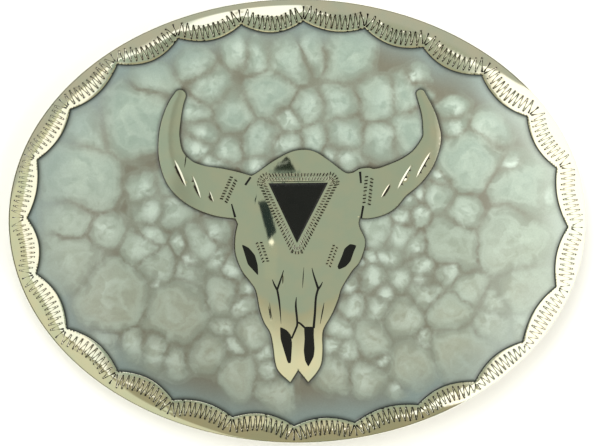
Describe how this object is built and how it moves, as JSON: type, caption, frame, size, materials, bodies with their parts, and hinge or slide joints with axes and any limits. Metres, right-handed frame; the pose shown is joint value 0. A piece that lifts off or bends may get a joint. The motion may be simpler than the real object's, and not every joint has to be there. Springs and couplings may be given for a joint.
{
  "type": "western belt buckle",
  "caption": "Oval metal belt buckle with a scalloped engraved rim, a cow skull figure set in pearly resin, a prong and a hinged bail on its back.",
  "frame": {"origin": "on the floor that the buckle lies on, under the centre of its face", "axes": "+X to the right of the face and away from the prong, +Y to the top of the face, +Z out of the face"},
  "size_m": [0.0952, 0.073, 0.0122],
  "materials": {
    "nickel_silver": "polished nickel silver, a copper, nickel and zinc alloy",
    "pearl_resin": "polished pearly resin with a cell pattern",
    "black_resin": "polished black resin"
  },
  "bodies": {
    "buckle": {"plate": "nickel_silver", "pearl_inlay": "pearl_resin", "skull_face": "nickel_silver", "horn_left": "nickel_silver", "horn_right": "nickel_silver", "forehead_stone": "black_resin", "eye_left": "black_resin", "eye_right": "black_resin", "nostril_left": "black_resin", "nostril_right": "black_resin", "hinge_strap": "nickel_silver", "prong": "nickel_silver"},
    "bail": {"bail": "nickel_silver"}
  },
  "joints": [
    {"name": "bail_hinge", "type": "hinge", "parent": "buckle", "child": "bail", "pos_m": [0.013, 0, 0.00757], "axis": [0, 1, 0], "range_deg": [0, 160]}
  ]
}
